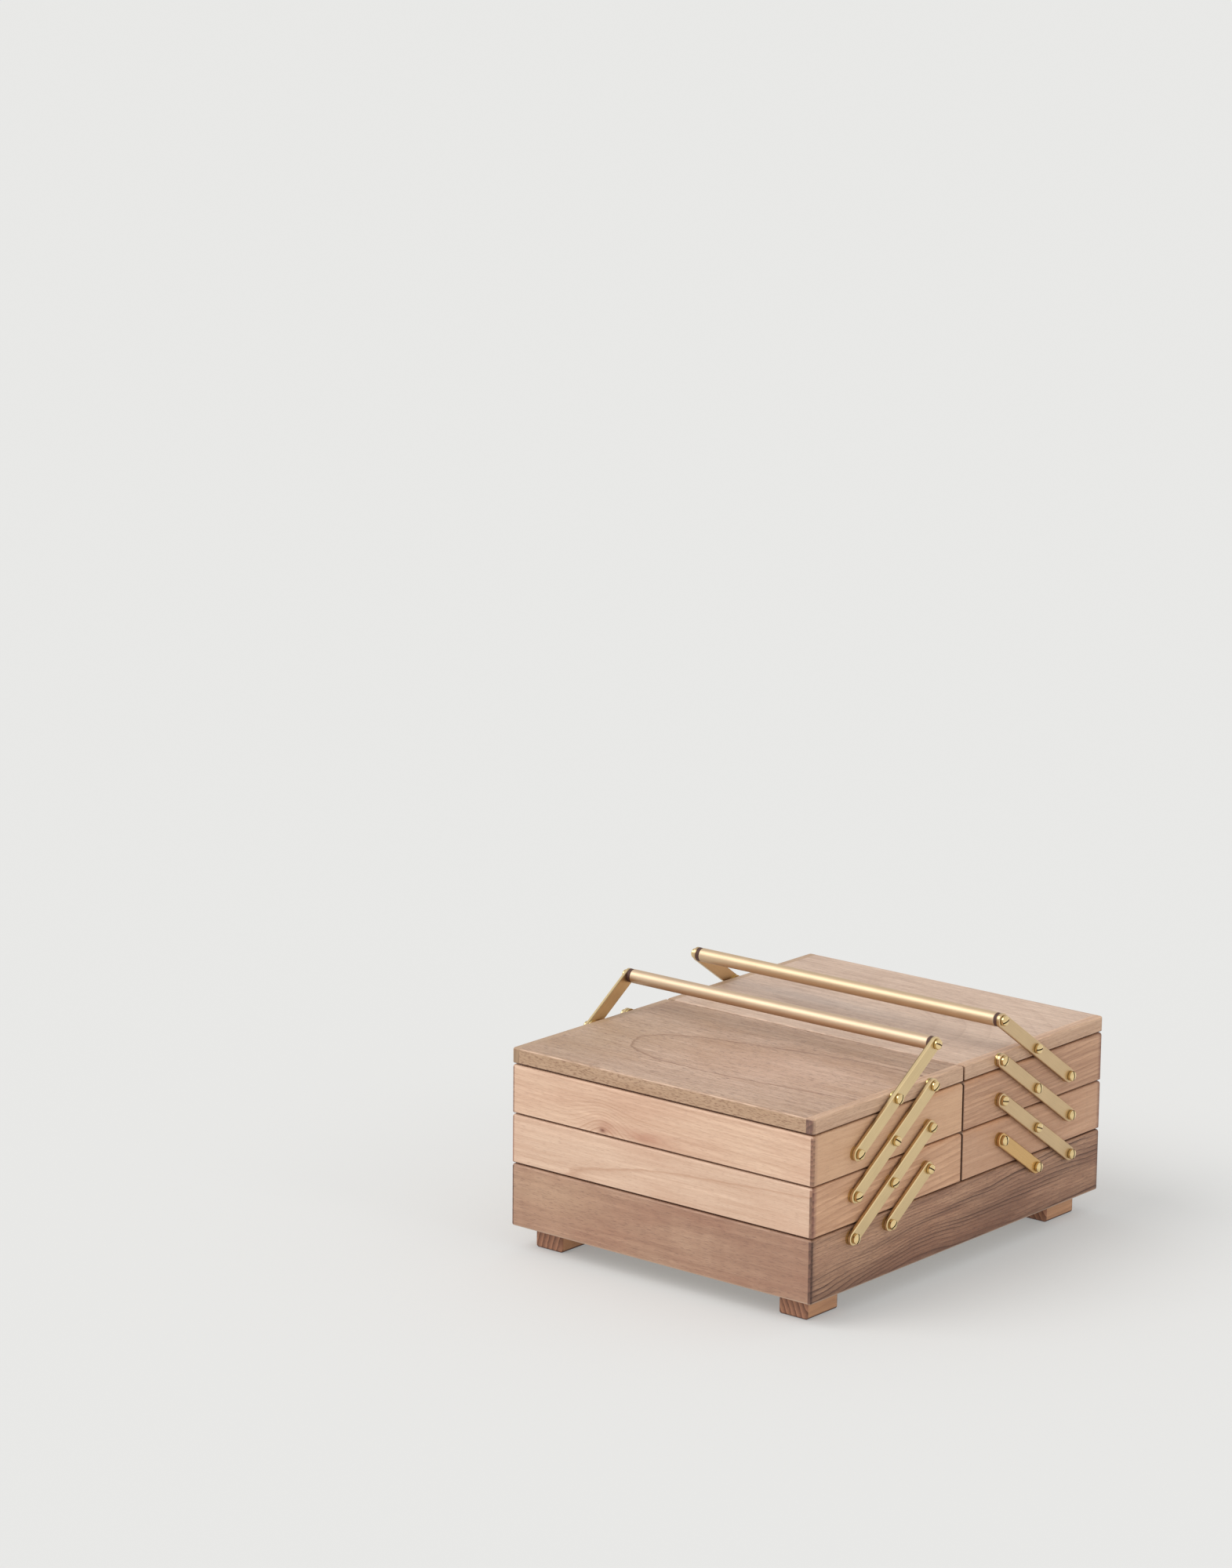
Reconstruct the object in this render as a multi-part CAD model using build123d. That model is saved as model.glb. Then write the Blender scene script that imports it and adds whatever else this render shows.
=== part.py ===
from build123d import *
import math
import os

# Wooden sewing box with two stacks of cantilever trays, in millimetres.
#
# X runs along the handles, Y across the box (the way it opens), Z up. The origin is on the
# floor under the middle of the box. The near half of the trays is at -Y and the far half at
# +Y, and the far half mirrors the near one. The right end is at +X and the left end at -X.

# ---- overall sizes ----
box_length = 261.6          # X, over the wood
box_depth = 340.0           # Y, over the wood
foot_height = 16.5
base_height = 45.5          # the base's walls and half the gap over them
tray_pitch = 35.8           # height of one tray and the gap under it
lid_pitch = 12.0            # thickness of the lid and the gap under it
level_gap = 1.1             # air between one level and the next
half_gap = 1.8              # air between the near and far halves

# ---- wood ----
wall = 8.0
groove_depth = 3.0          # how far a bottom panel stands in its walls
groove_lift = 2.5           # wood left under a bottom panel
base_panel_thickness = 4.0
tray_panel_thickness = 3.0
cleat_width = 6.5           # strip across the grain at each end of a lid
divider_thickness = 4.0
divider_drop = 9.0          # the divider's top edge is this far under the tray's rim
rim_radius = 1.0            # inner edge of the rims
corner_radius = 2.4         # upright edges
seam_corner_radius = 0.8    # upright edges where the two halves meet
base_top_radius = 2.2       # level edges
base_bottom_radius = 1.4
tray_top_radius = 2.2
tray_bottom_radius = 0.7
lid_top_radius = 1.5
lid_bottom_radius = 0.7
foot_length = 35.0          # Y
foot_width = 24.0           # X
foot_inset_x = 12.0
foot_inset_y = 12.5
foot_edge_radius = 2.0

# ---- straps and pivots ----
link_run = 42.5             # Y from one pivot of a strap to the next, when closed
link_rise = 29.0            # Z from one pivot of a strap to the next
link_pitch = 41.0           # Y between neighbouring straps
first_pivot_y = 127.3       # lowest pivot of the lower strap, from the middle of the box
first_pivot_z = 37.2        # the same, above the underside of the base
strap_width = 10.0
strap_thickness = 2.8
strap_edge_chamfer = 0.5
spacer_thickness = 1.4
slide_gap = 0.05            # running clearance on each side of a strap

# ---- screws ----
shank_radius = 2.0
pilot_radius = 2.02         # hole in the wood or bar round a screw
strap_bore_radius = 2.06
spacer_bore_radius = 2.1
head_radius = 3.6
head_height = 3.3
head_rim = 2.3              # where the dome starts
head_edge_radius = 1.0      # rounding between the head's side and its dome
slot_width = 1.0
slot_depth = 1.3
screw_bite = 6.0            # depth of the screw in the wood

# ---- handles ----
bar_radius = 5.0
bar_end_radius = 0.8
bar_washer_thickness = 2.4
bar_washer_radius = 4.9
bar_screw_bite = 14.0

# ---- worked out from the above ----
half_length = box_length / 2
half_depth = box_depth / 2
lower_tray_floor = foot_height + base_height
upper_tray_floor = lower_tray_floor + tray_pitch
lid_floor = upper_tray_floor + tray_pitch
link_angle = math.degrees(math.atan2(link_rise, link_run))
strap_inner_x = half_length + spacer_thickness + slide_gap
strap_outer_x = strap_inner_x + strap_thickness
head_seat_x = strap_outer_x + slide_gap
bar_end_x = strap_inner_x - slide_gap - bar_washer_thickness

# A strap is (its place across the box in link pitches, its first level, its last level).
# The levels are 0 base, 1 lower tray, 2 upper tray, 3 lid, 4 handle bar.
short_strap = (1, 0, 1)
lower_strap = (0, 0, 2)
middle_strap = (-1, 1, 3)
handle_strap = (-2, 2, 4)
all_straps = [short_strap, lower_strap, middle_strap, handle_strap]

# The slot of every screw stands where the screwdriver left it, in degrees above level.
near_slot_turns = [75, 38, 12, 21, 148, 33, 145, 29, 58, 40, 152]
far_slot_turns = [82, 83, 85, 157, 92, 90, 91, 168, 3, 58, 18]
slot_turn_left_end = 47     # the left end's slots are turned this much further


def write(name, *solids):
    """Write one node's solids to its own STEP file."""
    shape = solids[0] if len(solids) == 1 else Compound(children=list(solids))
    shape.label = name
    export_step(shape, f"parts/{name}.step")


def block(low, high):
    """A box between two opposite corners."""
    size = [high[i] - low[i] for i in range(3)]
    middle = [(high[i] + low[i]) / 2 for i in range(3)]
    return Pos(*middle) * Box(*size)


def rounded_block(low, high, top_radius, bottom_radius):
    """A box with its upright edges and its level edges rounded."""
    solid = block(low, high)
    upright = solid.edges().filter_by(Axis.Z)
    outer_edges = [edge for edge in upright if abs(edge.center().Y) > half_gap]
    solid = fillet(outer_edges, corner_radius)
    upright = solid.edges().filter_by(Axis.Z)
    seam_edges = [edge for edge in upright if abs(edge.center().Y) < half_gap]
    if seam_edges:
        solid = fillet(seam_edges, seam_corner_radius)
    solid = fillet(solid.faces().sort_by(Axis.Z)[-1].edges(), top_radius)
    return fillet(solid.faces().sort_by(Axis.Z)[0].edges(), bottom_radius)


def mitre_prism(corners, low_z, high_z):
    """An upright prism over a four-sided outline."""
    outline = Polyline(*[(x, y, low_z) for x, y in corners], close=True)
    return extrude(make_face(outline), high_z - low_z, dir=(0, 0, 1))


def mitred_walls(low, high, top_radius, bottom_radius, panel_thickness):
    """Four mitred walls with a groove for the bottom panel, and the panel itself.

    The walls come as a list: low Y, high Y, low X and high X.
    """
    x0, y0, z0 = low
    x1, y1, z1 = high
    cavity = block((x0 + wall, y0 + wall, z0 - 1), (x1 - wall, y1 - wall, z1 + 1))
    reach = wall - groove_depth
    panel_z = z0 + groove_lift
    panel = block((x0 + reach, y0 + reach, panel_z), (x1 - reach, y1 - reach, panel_z + panel_thickness))
    ring = rounded_block(low, high, top_radius, bottom_radius) - cavity
    rim = [
        edge
        for edge in ring.edges().filter_by_position(Axis.Z, z1 - 0.01, z1 + 0.01)
        if abs(edge.center().X - (x0 + x1) / 2) < (x1 - x0) / 2 - wall + 0.01
        and abs(edge.center().Y - (y0 + y1) / 2) < (y1 - y0) / 2 - wall + 0.01
    ]
    ring = fillet(rim, rim_radius) - panel
    out_x0, out_y0, out_x1, out_y1 = x0 - wall, y0 - wall, x1 + wall, y1 + wall
    in_x0, in_y0, in_x1, in_y1 = x0 + wall, y0 + wall, x1 - wall, y1 - wall
    outlines = [
        [(out_x0, out_y0), (out_x1, out_y0), (in_x1, in_y0), (in_x0, in_y0)],
        [(out_x0, out_y1), (out_x1, out_y1), (in_x1, in_y1), (in_x0, in_y1)],
        [(out_x0, out_y0), (in_x0, in_y0), (in_x0, in_y1), (out_x0, out_y1)],
        [(out_x1, out_y0), (in_x1, in_y0), (in_x1, in_y1), (out_x1, out_y1)],
    ]
    walls = [(ring & mitre_prism(outline, z0, z1)).solids()[0] for outline in outlines]
    return walls, panel


def pivot(half, place, level):
    """The (y, z) of a pivot. half is -1 for the near half and 1 for the far one."""
    y = -first_pivot_y + level * link_run + place * link_pitch
    return -half * y, foot_height + first_pivot_z + level * link_rise


def pivots_on(half, level):
    """The pivots that one half has on a level, from its outer side inwards."""
    places = sorted(strap[0] for strap in all_straps if strap[1] <= level <= strap[2])
    return [pivot(half, place, level) for place in places]


def rod_along_x(x0, x1, centre, radius):
    """A cylinder along X between x0 and x1."""
    return extrude(Plane.YZ.offset(x0) * Pos(*centre) * Circle(radius), x1 - x0)


def both_ends(solid):
    """A solid at the right end and its mirror image at the left end."""
    return [solid, mirror(solid, about=Plane.YZ)]


def screw(centre, turn, bite_from, bite):
    """A slotted round-head screw at the right end, with its point towards -X."""
    dome_height = head_height - head_rim
    dome_radius = (head_radius**2 + dome_height**2) / (2 * dome_height)
    profile = make_face(
        [
            Line((0, 0), (head_radius, 0)),
            Line((head_radius, 0), (head_radius, head_rim)),
            RadiusArc((head_radius, head_rim), (0, head_height), -dome_radius),
            Line((0, head_height), (0, 0)),
        ]
    )
    head = revolve(Plane.XZ * profile, Axis.Z)
    shoulder = head.edges().filter_by_position(Axis.Z, head_rim - 0.01, head_rim + 0.01)
    head = fillet(shoulder, head_edge_radius)
    slot_bottom = head_height - slot_depth
    head -= Rot(0, 0, turn) * Pos(0, 0, slot_bottom + slot_depth) * Box(
        3 * head_radius, slot_width, 2 * slot_depth
    )
    stands = Plane(origin=(head_seat_x, centre[0], centre[1]), x_dir=(0, 1, 0), z_dir=(1, 0, 0))
    shank = rod_along_x(bite_from - bite, head_seat_x, centre, shank_radius)
    return (stands * head + shank).solids()[0]


def spacer(centre):
    """The washer between the wood and a strap, at the right end."""
    disc = rod_along_x(half_length, half_length + spacer_thickness, centre, strap_width / 2)
    bore = rod_along_x(half_length, half_length + spacer_thickness, centre, spacer_bore_radius)
    return disc - bore


def pilot_hole(centre):
    """The hole that a screw fills in the wood, at the right end."""
    return rod_along_x(half_length - screw_bite, half_length, centre, pilot_radius)


def strap(half, place, first, last):
    """One flat strap with round ends, bored at each pivot, at the right end."""
    low = pivot(half, place, first)
    high = pivot(half, place, last)
    length = math.dist(low, high)
    lean = math.degrees(math.atan2(high[1] - low[1], high[0] - low[0]))
    middle = ((low[0] + high[0]) / 2, (low[1] + high[1]) / 2)
    outline = Pos(*middle) * Rot(0, 0, lean) * SlotCenterToCenter(length, strap_width)
    plate = extrude(Plane.YZ.offset(strap_inner_x) * outline, strap_thickness)
    plate = chamfer(plate.faces().sort_by(Axis.X)[-1].edges(), strap_edge_chamfer)
    for level in range(first, last + 1):
        centre = pivot(half, place, level)
        plate -= rod_along_x(strap_inner_x, strap_outer_x, centre, strap_bore_radius)
    return plate


def slot_turns(half, level):
    """The slot angles of one half's screws on a level."""
    turns = near_slot_turns if half < 0 else far_slot_turns
    before = sum(len(pivots_on(half, lower)) for lower in range(level))
    return turns[before:before + len(pivots_on(half, level))]


def fasteners(half, level):
    """The screws and spacers of one half on a wooden level, at both ends."""
    screws = []
    spacers = []
    for centre, turn in zip(pivots_on(half, level), slot_turns(half, level)):
        left_screw = screw(centre, turn + slot_turn_left_end, half_length, screw_bite)
        screws += [screw(centre, turn, half_length, screw_bite), mirror(left_screw, about=Plane.YZ)]
        spacers += both_ends(spacer(centre))
    return screws, spacers


def bored(solid, centres):
    """A wooden piece with its pilot holes at both ends."""
    for centre in centres:
        for hole in both_ends(pilot_hole(centre)):
            solid -= hole
    return solid.solids()[0]


def make_base():
    """Box bottom: four mitred walls, a panel in a groove, four feet and the lowest pivots."""
    low = (-half_length, -half_depth, foot_height)
    high = (half_length, half_depth, lower_tray_floor - level_gap / 2)
    walls, panel = mitred_walls(low, high, base_top_radius, base_bottom_radius, base_panel_thickness)
    centres = pivots_on(-1, 0) + pivots_on(1, 0)
    write("base_front_wall", walls[0])
    write("base_rear_wall", walls[1])
    write("base_left_end_wall", bored(walls[2], centres))
    write("base_right_end_wall", bored(walls[3], centres))
    write("base_bottom_panel", panel)
    for side_y, y_name in ((-1, "near"), (1, "far")):
        for side_x, x_name in ((-1, "left"), (1, "right")):
            write(f"{y_name}_{x_name}_foot", make_foot(side_x, side_y))
    near_screws, near_spacers = fasteners(-1, 0)
    far_screws, far_spacers = fasteners(1, 0)
    write("base_pivot_screws", *near_screws, *far_screws)
    write("base_spacer_washers", *near_spacers, *far_spacers)


def make_foot(side_x, side_y):
    """One foot block, glued to the underside of the bottom panel, inside the walls."""
    x = side_x * (half_length - foot_inset_x - foot_width / 2)
    y = side_y * (half_depth - foot_inset_y - foot_length / 2)
    top_z = foot_height + groove_lift
    foot = Pos(x, y, top_z / 2) * Box(foot_width, foot_length, top_z)
    top = foot.faces().sort_by(Axis.Z)[-1]
    soft_edges = [edge for edge in foot.edges() if edge not in top.edges()]
    return fillet(soft_edges, foot_edge_radius)


def half_span(half):
    """The lowest and highest Y of one half of the trays."""
    return (-half_depth, -half_gap / 2) if half < 0 else (half_gap / 2, half_depth)


def make_tray(half, name, level, floor_z, with_divider):
    """One tray: four mitred walls, a bottom panel, its pivots and, in some, a divider."""
    y0, y1 = half_span(half)
    low = (-half_length, y0, floor_z + level_gap / 2)
    high = (half_length, y1, floor_z + tray_pitch - level_gap / 2)
    walls, panel = mitred_walls(low, high, tray_top_radius, tray_bottom_radius, tray_panel_thickness)
    outer, inner = (walls[0], walls[1]) if half < 0 else (walls[1], walls[0])
    centres = pivots_on(half, level)
    write(f"{name}_outer_wall", outer)
    write(f"{name}_inner_wall", inner)
    write(f"{name}_end_walls", bored(walls[2], centres), bored(walls[3], centres))
    write(f"{name}_bottom_panel", panel)
    if with_divider:
        divider_low = (-divider_thickness / 2, y0 + wall, low[2] + groove_lift + tray_panel_thickness)
        divider_high = (divider_thickness / 2, y1 - wall, high[2] - divider_drop)
        divider = block(divider_low, divider_high)
        top_edges = divider.faces().sort_by(Axis.Z)[-1].edges().filter_by(Axis.Y)
        write(f"{name}_divider", fillet(top_edges, rim_radius))
    screws, spacers = fasteners(half, level)
    write(f"{name}_pivot_screws", *screws)
    write(f"{name}_spacer_washers", *spacers)


def make_lid(half, name):
    """One lid: a board with a cleat across the grain at each end, and its pivots."""
    y0, y1 = half_span(half)
    low = (-half_length, y0, lid_floor + level_gap / 2)
    high = (half_length, y1, lid_floor + lid_pitch - level_gap / 2)
    board = rounded_block(low, high, lid_top_radius, lid_bottom_radius)
    centres = pivots_on(half, 3)
    seam_x = half_length - cleat_width
    middle = block((-seam_x, y0, low[2]), (seam_x, y1, high[2]))
    cleats = [bored(piece, centres) for piece in (board - middle).solids()]
    write(f"{name}_board", (board & middle).solids()[0])
    write(f"{name}_end_cleats", *cleats)
    screws, spacers = fasteners(half, 3)
    write(f"{name}_pivot_screws", *screws)
    write(f"{name}_spacer_washers", *spacers)


def make_straps(half, name):
    """The four pairs of straps of one half, one strap of each pair at each end."""
    write(f"{name}_short_straps", *both_ends(strap(half, *short_strap)))
    write(f"{name}_lower_straps", *both_ends(strap(half, *lower_strap)))
    write(f"{name}_middle_straps", *both_ends(strap(half, *middle_strap)))
    write(f"{name}_handle_straps", *both_ends(strap(half, *handle_strap)))


def make_handle(half, name):
    """One handle: a round bar with a fibre washer and a screw at each end."""
    centre = pivots_on(half, 4)[0]
    bar = rod_along_x(-bar_end_x, bar_end_x, centre, bar_radius)
    bar = fillet(bar.edges().filter_by(GeomType.CIRCLE), bar_end_radius)
    hole = rod_along_x(bar_end_x - bar_screw_bite, bar_end_x, centre, pilot_radius)
    for end_hole in both_ends(hole):
        bar -= end_hole
    washer_outer_x = bar_end_x + bar_washer_thickness
    washer = rod_along_x(bar_end_x, washer_outer_x, centre, bar_washer_radius)
    washer -= rod_along_x(bar_end_x, washer_outer_x, centre, pilot_radius)
    turn = slot_turns(half, 4)[0]
    right_screw = screw(centre, turn, bar_end_x, bar_screw_bite)
    left_screw = mirror(screw(centre, turn + slot_turn_left_end, bar_end_x, bar_screw_bite), about=Plane.YZ)
    write(f"{name}_handle_bar", bar.solids()[0])
    write(f"{name}_handle_washers", *both_ends(washer))
    write(f"{name}_handle_screws", right_screw, left_screw)


os.makedirs("parts", exist_ok=True)
make_base()
for half_side, half_name in ((-1, "near"), (1, "far")):
    make_tray(half_side, f"{half_name}_lower_tray", 1, lower_tray_floor, with_divider=False)
    make_tray(half_side, f"{half_name}_upper_tray", 2, upper_tray_floor, with_divider=True)
    make_lid(half_side, f"{half_name}_lid")
    make_straps(half_side, half_name)
    make_handle(half_side, half_name)
print("a strap turns", round(180 - 2 * link_angle, 3), "degrees from closed to open")
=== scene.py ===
"""Looks, light and camera for a wooden cantilever sewing box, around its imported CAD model."""

import math

import bpy
from mathutils import Matrix, Vector


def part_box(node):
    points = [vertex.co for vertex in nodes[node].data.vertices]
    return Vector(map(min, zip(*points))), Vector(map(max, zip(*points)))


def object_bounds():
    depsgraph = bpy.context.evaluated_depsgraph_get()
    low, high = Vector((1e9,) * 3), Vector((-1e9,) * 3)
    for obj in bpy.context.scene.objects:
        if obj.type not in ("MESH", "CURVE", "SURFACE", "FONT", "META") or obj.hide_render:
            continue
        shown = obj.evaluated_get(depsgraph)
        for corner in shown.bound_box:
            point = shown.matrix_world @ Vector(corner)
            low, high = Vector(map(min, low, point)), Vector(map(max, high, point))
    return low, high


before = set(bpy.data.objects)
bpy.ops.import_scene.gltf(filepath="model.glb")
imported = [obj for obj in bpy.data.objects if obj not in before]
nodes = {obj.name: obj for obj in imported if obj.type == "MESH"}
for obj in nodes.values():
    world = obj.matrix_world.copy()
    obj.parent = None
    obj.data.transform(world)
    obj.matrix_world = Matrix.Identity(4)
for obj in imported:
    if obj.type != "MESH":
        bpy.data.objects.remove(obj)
cad_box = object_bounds()

# ---- measures read from the CAD model, in metres ----
BOX_END = cad_box[1][1]  # where the wood ends along Y
BOX_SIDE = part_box("base_front_wall")[1][0]  # where the wood ends along X
SCREW_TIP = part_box("base_pivot_screws")[1][0]
STRAP_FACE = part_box("near_lower_straps")[1][0]

# ---- sizes and directions of the brass, as in the CAD model ----
STRAP_THICKNESS = 0.0028
HEAD_HEIGHT = 0.0033
SLOT_DEPTH = 0.0013
ALONG_BAR = (1.0, 0.0, 0.0)
ALONG_NEAR_STRAPS = (0.0, 0.826, 0.564)
ALONG_FAR_STRAPS = (0.0, -0.826, 0.564)

# ---- camera, in metres and degrees ----
CAMERA_PLACE = (1.9529, -2.6018, 1.0623)
CAMERA_AZIMUTH = 39.343
CAMERA_ELEVATION = 12.845
CAMERA_ROLL = 0.631
CAMERA_LENS = 110.52

# ---- light ----
DOME_LIGHT = 0.74
DOME_COLOUR = (1.0, 1.0, 0.995)
KEY_TRAVEL = (0.39, 0.59, -0.707)
KEY_POWER = 1.36
KEY_SPREAD = 42.0
FILL_TRAVEL = (-0.868, -0.010, -0.497)
FILL_POWER = 0.14
FILL_SPREAD = 16.0
FLOOR_SIZE = 60.0
FLOOR_COLOUR = (0.543, 0.531, 0.518)
FLOOR_GLOW = (0.232, 0.244, 0.245)

# ---- wood patterns: features per metre along the grain and across it, and a shift of each one's own ----
BEND = (9.0, 22.0, 0.0)
RAGGED = (70.0, 260.0, 5.0)
STREAK = (9.0, 300.0, 11.0)
FIBRE = (45.0, 1300.0, 17.0)
PORE = (210.0, 2300.0, 23.0)
CLOUD = (11.0, 34.0, 29.0)
RIPPLE = (75.0, 12.0, 37.0)
FLECK = (300.0, 1300.0, 43.0)
RUBBING_AND_HIGHLIGHT = (60.0, 160.0, 47.0)
END_MOTTLE = (900.0, 900.0, 420.0)  # features per metre along X, Y and Z
END_MOTTLE_SHIFT = 41.0
SEED_SHIFT = 3.1

# ---- the noise values where each pattern begins and is full ----
CLOUD_LEVELS = (0.40, 0.66)
STREAK_LEVELS = (0.40, 0.72)
PALE_STREAK_LEVELS = (0.42, 0.28)
FIBRE_LEVELS = (0.40, 0.70)
RIPPLE_LEVELS = (0.4, 0.7)
PORE_LEVELS = (0.57, 0.70)
FLECK_LEVELS = (0.50, 0.64)
FLECK_SHARE = 0.70
RUBBING_AND_HIGHLIGHT_LEVELS = (0.42, 0.58)
END_MOTTLE_LEVELS = (0.5, 0.75)
END_MOTTLE_SHARE = 0.6
TARNISH_LEVELS = (0.35, 0.75)
TARNISH_SHARE = 0.30
BRUSHING_LEVELS = (0.35, 0.7)

# ---- where marks on the wood begin and are full: in metres, or as the share that a face is turned ----
CORNER_DARKENING_FROM_END = (0.0056, 0.0026)
SEAM_FROM_MIDDLE = (0.00125, 0.0009)
SEAM_FROM_SIDE = (0.010, 0.003)
END_GRAIN_TURN = {"X": (0.02, 0.14), "Y": (0.02, 0.34)}
SIDE_FACE_TURN = (0.75, 0.97)
BEVEL_TURN = (0.35, 0.6)
UNDERSIDE_TURN = (-0.02, -0.35)
LEVEL_UNDERSIDE_TURN = (-0.985, -0.90)
EDGE_WEAR_AND_HIGHLIGHT_TURN = 0.02
EDGE_WEAR_AND_HIGHLIGHT_WIDTH = 0.03

# ---- how far a brass face looks along X, or up, where each tone begins and is full ----
ASIDE_TURN = (0.45, 0.15)
CHAMFER_TURN = (0.5, 0.65)
FLAT_FACE_TURN = (0.97, 0.85)
SLOT_FLOOR_TURN = (0.985, 0.995)
BELLY_TURN = (0.0, -0.8)

# ---- rings ----
RING_LUCK = (0.5, 1.25)  # late wood in the faintest and in the strongest ring
KNOT_LIFT_REACH = 6  # in sizes of the knot, as the next one
KNOT_SWIRL_REACH = 8
KNOT_SWIRL = 1.8  # how much more late wood there is at the knot

# ---- finishes ----
WOOD_ROUGHNESS = (0.37, 0.54)
WOOD_SPECULAR = 0.35
WOOD_RELIEF = (0.35, 0.0003)  # strength and distance in metres, as for the next two
BRASS_RELIEF = (0.10, 0.00008)
FIBRE_RELIEF = (0.4, 0.0001)
BRUSHING = (2400.0, 2400.0, 40.0)  # features per metre across the brass twice, and along it
# colours of the painted shade in the brass crevices and in the screw slots
CREVICE_SHADE = (64, 40, 16)
SLOT_SHADE = (70, 44, 18)
# what these multiply a display colour by
PALER_GAIN = 1.09
END_RING_GAIN = 0.66
LEFT_END_RING_GAIN = 0.8
TARNISH_GAIN = 0.88
BRUSHING_GAIN = 0.8
BELLY_SHADE_GAIN = (0.62, 0.50, 0.36)
ASIDE_SHADE_GAIN = (0.56, 0.51, 0.38)
CHAMFER_HIGHLIGHT_GAIN = 1.12

# What wood() takes, with the look of a plain board. Lengths are in metres, colours are display
# colours from 0 to 255, and shares go from 0 to 1.
PLAIN_BOARD = dict(
    grain="X",  # the axis that the grain runs along, X or Y
    seed=0,  # shifts the patterns, so that no two boards are alike
    # The tree's centre line: its place across the grain and its height where the place along the
    # grain is centre. It strays by sway and lean for each metre along the grain, and it sinks by
    # bow for each square metre, which draws the cathedrals.
    side=0.0,
    rise=0.0,
    centre=0.0,
    sway=0.0,
    lean=0.0,
    bow=0.0,
    # The rings: their width and the radius where they start, how late in a ring the dark wood sets
    # in and the share of the ring where it begins to fade, how strong it is, and how far the rings
    # wander and how ragged they are.
    ring=0.004,
    phase=0.0,
    sharp=3.0,
    crest=0.95,
    contrast=0.5,
    wander=0.006,
    jag=0.0006,
    # Colours: the early wood, the late wood and fibres, the pores and end grain, and the clouds.
    pale=(226, 193, 166),
    dark=(190, 150, 122),
    end=(150, 110, 84),
    tint=(200, 150, 125),
    # Shares of the finer patterns.
    streaks=0.3,
    fibres=0.3,
    pores=0.3,
    clouds=0.3,
    curl=0.0,
    # Dark bands along the grain, each (middle, slope, half width, share): by height, or across the
    # board where it lies flat. hush is how far the late wood fades outside them.
    bands=(),
    flat=False,
    hush=0.0,
    # A knot (place, size, how far it lifts the rings) and soft patches of another colour, each (place, reach,
    # share, colour): stains, and on the end walls a painted warm glow.
    knot=None,
    blushes=(),
    # Shares of end grain at the low and high ends, and how far it fades at the edges of the end.
    ends=(0.9, 0.9),
    end_rim=0.0,
    deep=None,  # the colour of the rings in the end grain, if it isn't a darker end
    left_end=None,  # another end grain colour for the left half of the box
    corner_darkening=0.0,  # darker, in the end grain's colour, towards the box's corners, for grain along Y
    edge_wear_and_highlight=0.0,  # a pale line beside the edge of the high end: a painted highlight, with some rubbing
    # The colour of the painted shade on rounded undersides and along the line where the two halves meet,
    # and their shares; on the base this colour is a painted highlight instead.
    painted_underside=(74, 38, 20),
    painted_underside_share=0.95,
    seam_shade=0.0,
    # Another tone for the long edges, and how far the upper rounded edges are made paler, partly as rubbing
    # and partly as a painted highlight.
    flank=0.0,
    flank_tone=(180, 146, 112),
    wear_and_highlight=0.35,
)


def linear(red, green, blue):
    """A display colour, 0 to 255, as linear values with an alpha of 1."""
    shares = [value / 255 for value in (red, green, blue)]
    return tuple(s / 12.92 if s < 0.04045 else ((s + 0.055) / 1.055) ** 2.4 for s in shares) + (1.0,)


def scaled(colour, gain):
    """A display colour times gain, as linear values. gain is one number, or one for each channel."""
    gains = gain if isinstance(gain, tuple) else (gain,) * 3
    return linear(*[min(255, g * c) for g, c in zip(gains, colour)])


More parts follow.
